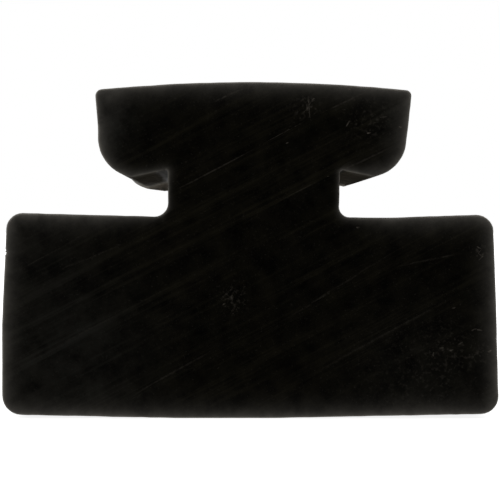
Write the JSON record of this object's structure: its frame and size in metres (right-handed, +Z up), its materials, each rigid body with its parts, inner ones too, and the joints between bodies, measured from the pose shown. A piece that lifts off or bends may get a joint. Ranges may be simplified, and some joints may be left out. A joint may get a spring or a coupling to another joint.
{
  "type": "vibration dampener",
  "caption": "Black rubber string vibration dampener: a T-section block with a wide base, a narrow neck and a mushroom head that leave a string slot along each side.",
  "frame": {"origin": "middle of the flat land under the base, halfway along the length", "axes": "+X across the section, +Y along the length from one sawn end to the other, +Z up from the base to the head"},
  "size_m": [0.028, 0.025, 0.0189],
  "materials": {
    "black_rubber": "matte black with smooth extruded sides, finely sawn ends and lightly dusted edges"
  },
  "bodies": {
    "root": {"dampener_body": "black_rubber"}
  },
  "joints": []
}
